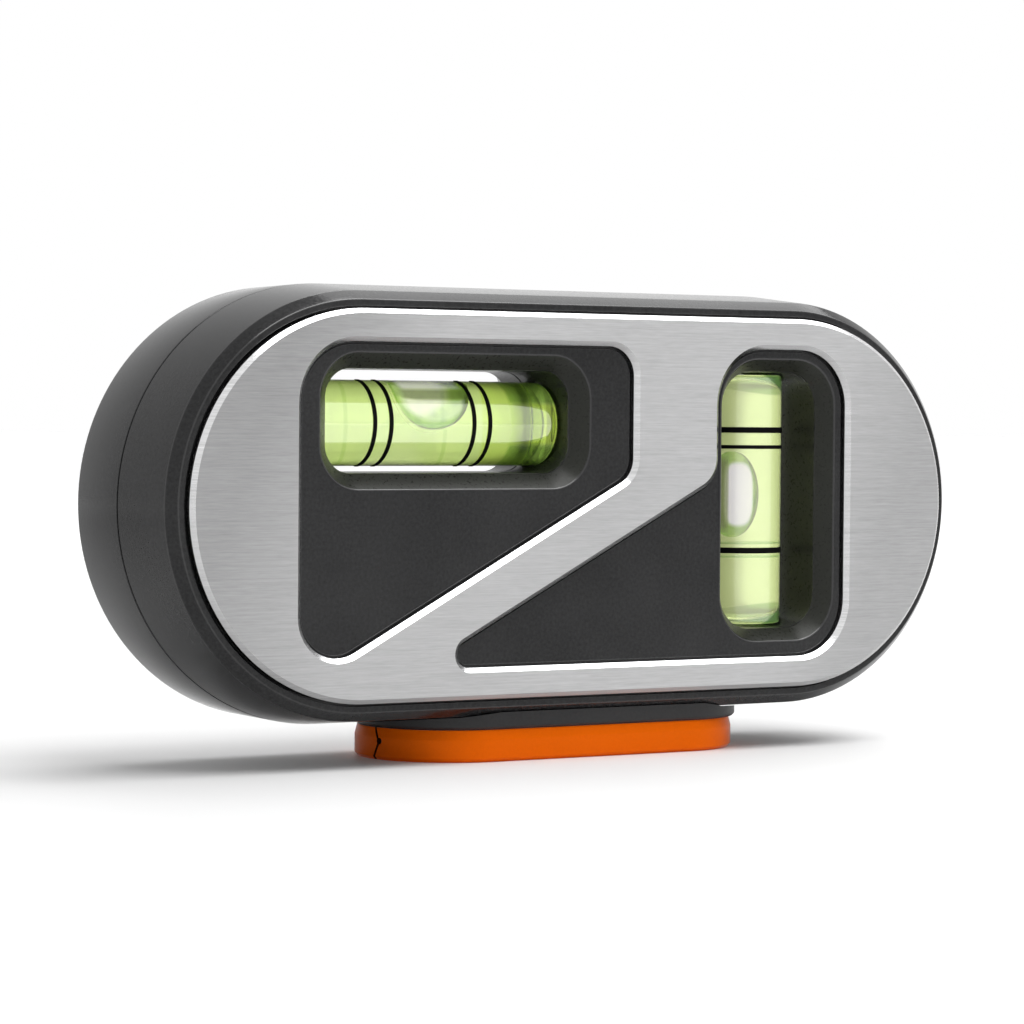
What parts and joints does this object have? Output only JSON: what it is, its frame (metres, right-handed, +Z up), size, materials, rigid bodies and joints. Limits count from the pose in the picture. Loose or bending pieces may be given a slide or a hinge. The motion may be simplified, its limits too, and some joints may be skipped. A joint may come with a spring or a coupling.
{
  "type": "pocket level",
  "caption": "Pocket level with a level vial and a plumb vial in a moulded housing, a brushed face plate and a clip-on base.",
  "frame": {"origin": "centre of the outline at the height of the base's underside", "axes": "+X to the right seen from the front, the front faces -Y, +Z up"},
  "size_m": [0.1076, 0.0226, 0.0531],
  "materials": {
    "shell": "fine moulded texture",
    "plate": "brushed along its length, bright bevels",
    "base": "satin",
    "vial": "clear, polished",
    "liquid": "clear yellow-green",
    "air": "clear",
    "line": "printed",
    "fastener": "black",
    "magnet": "satin nickel",
    "sheet": "matt"
  },
  "bodies": {
    "body": {"front_housing": "shell", "rear_housing": "shell", "adhesive_sheet": "sheet", "face_plate": "plate", "housing_screw_1": "fastener", "housing_screw_2": "fastener", "housing_screw_3": "fastener", "housing_screw_4": "fastener", "housing_screw_5": "fastener", "level_vial": "vial", "level_vial_plug": "vial", "level_vial_liquid": "liquid", "level_ring_1": "line", "level_ring_2": "line", "level_ring_3": "line", "level_ring_4": "line", "plumb_vial": "vial", "plumb_vial_plug": "vial", "plumb_vial_liquid": "liquid", "plumb_ring_1": "line", "plumb_ring_2": "line", "plumb_ring_3": "line", "foot": "shell", "base_front": "base", "base_rear": "base", "magnet_left": "magnet", "magnet_right": "magnet", "base_pin_left": "fastener", "base_pin_right": "fastener"},
    "level_air": {"level_bubble": "air"},
    "plumb_air": {"plumb_bubble": "air"}
  },
  "joints": [
    {"name": "level_bubble_slide", "type": "slide", "parent": "body", "child": "level_air", "axis": [1, 0, 0], "range_m": [-0.009, 0.0072]},
    {"name": "plumb_bubble_slide", "type": "slide", "parent": "body", "child": "plumb_air", "axis": [0, 0, 1], "range_m": [-0.0079, 0.006]}
  ]
}
